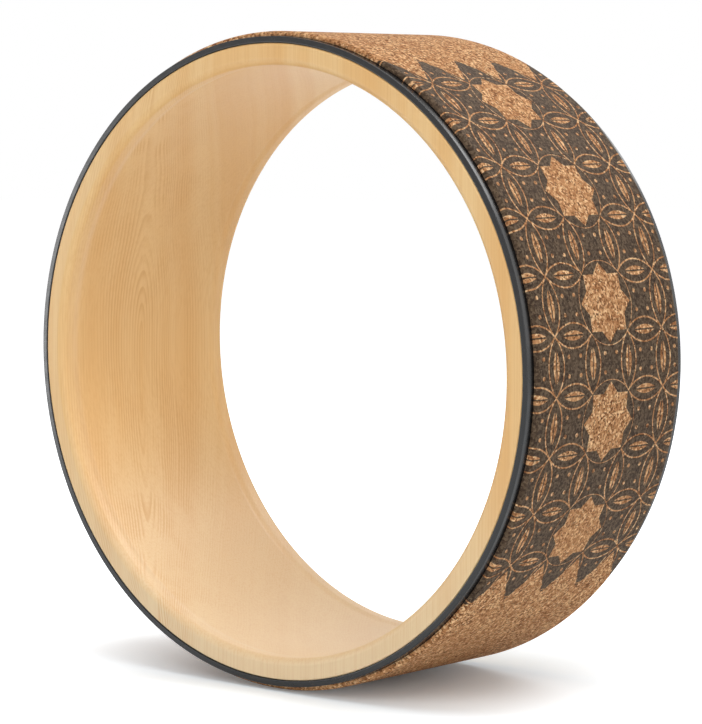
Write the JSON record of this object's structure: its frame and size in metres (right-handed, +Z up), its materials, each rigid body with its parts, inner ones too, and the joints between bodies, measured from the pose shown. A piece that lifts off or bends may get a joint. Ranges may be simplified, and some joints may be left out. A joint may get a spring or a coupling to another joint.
{
  "type": "yoga wheel",
  "caption": "Free-standing yoga wheel: a wood-grain hoop with rounded lips, a black cushion strip round it and a cork tread with a dark printed lattice.",
  "frame": {"origin": "centre of the wheel, on its axis at the middle of its width", "axes": "+Y along the wheel's axis, away from the side that the picture shows; +Z up as it stands on its tread"},
  "size_m": [0.33, 0.125, 0.33],
  "materials": {
    "wood_grain": "satin wood-grain print",
    "core": "plain moulded, hidden",
    "cushion": "smooth semi-matte",
    "cork": "fine agglomerated cork with a dark print",
    "tape": "translucent adhesive film"
  },
  "bodies": {
    "root": {"core_hoop": "core", "front_lip": "wood_grain", "rear_lip": "wood_grain", "liner_sleeve": "wood_grain", "cushion_tape": "tape", "cushion_strip": "cushion", "tread_tape": "tape", "cork_tread": "cork"}
  },
  "joints": []
}
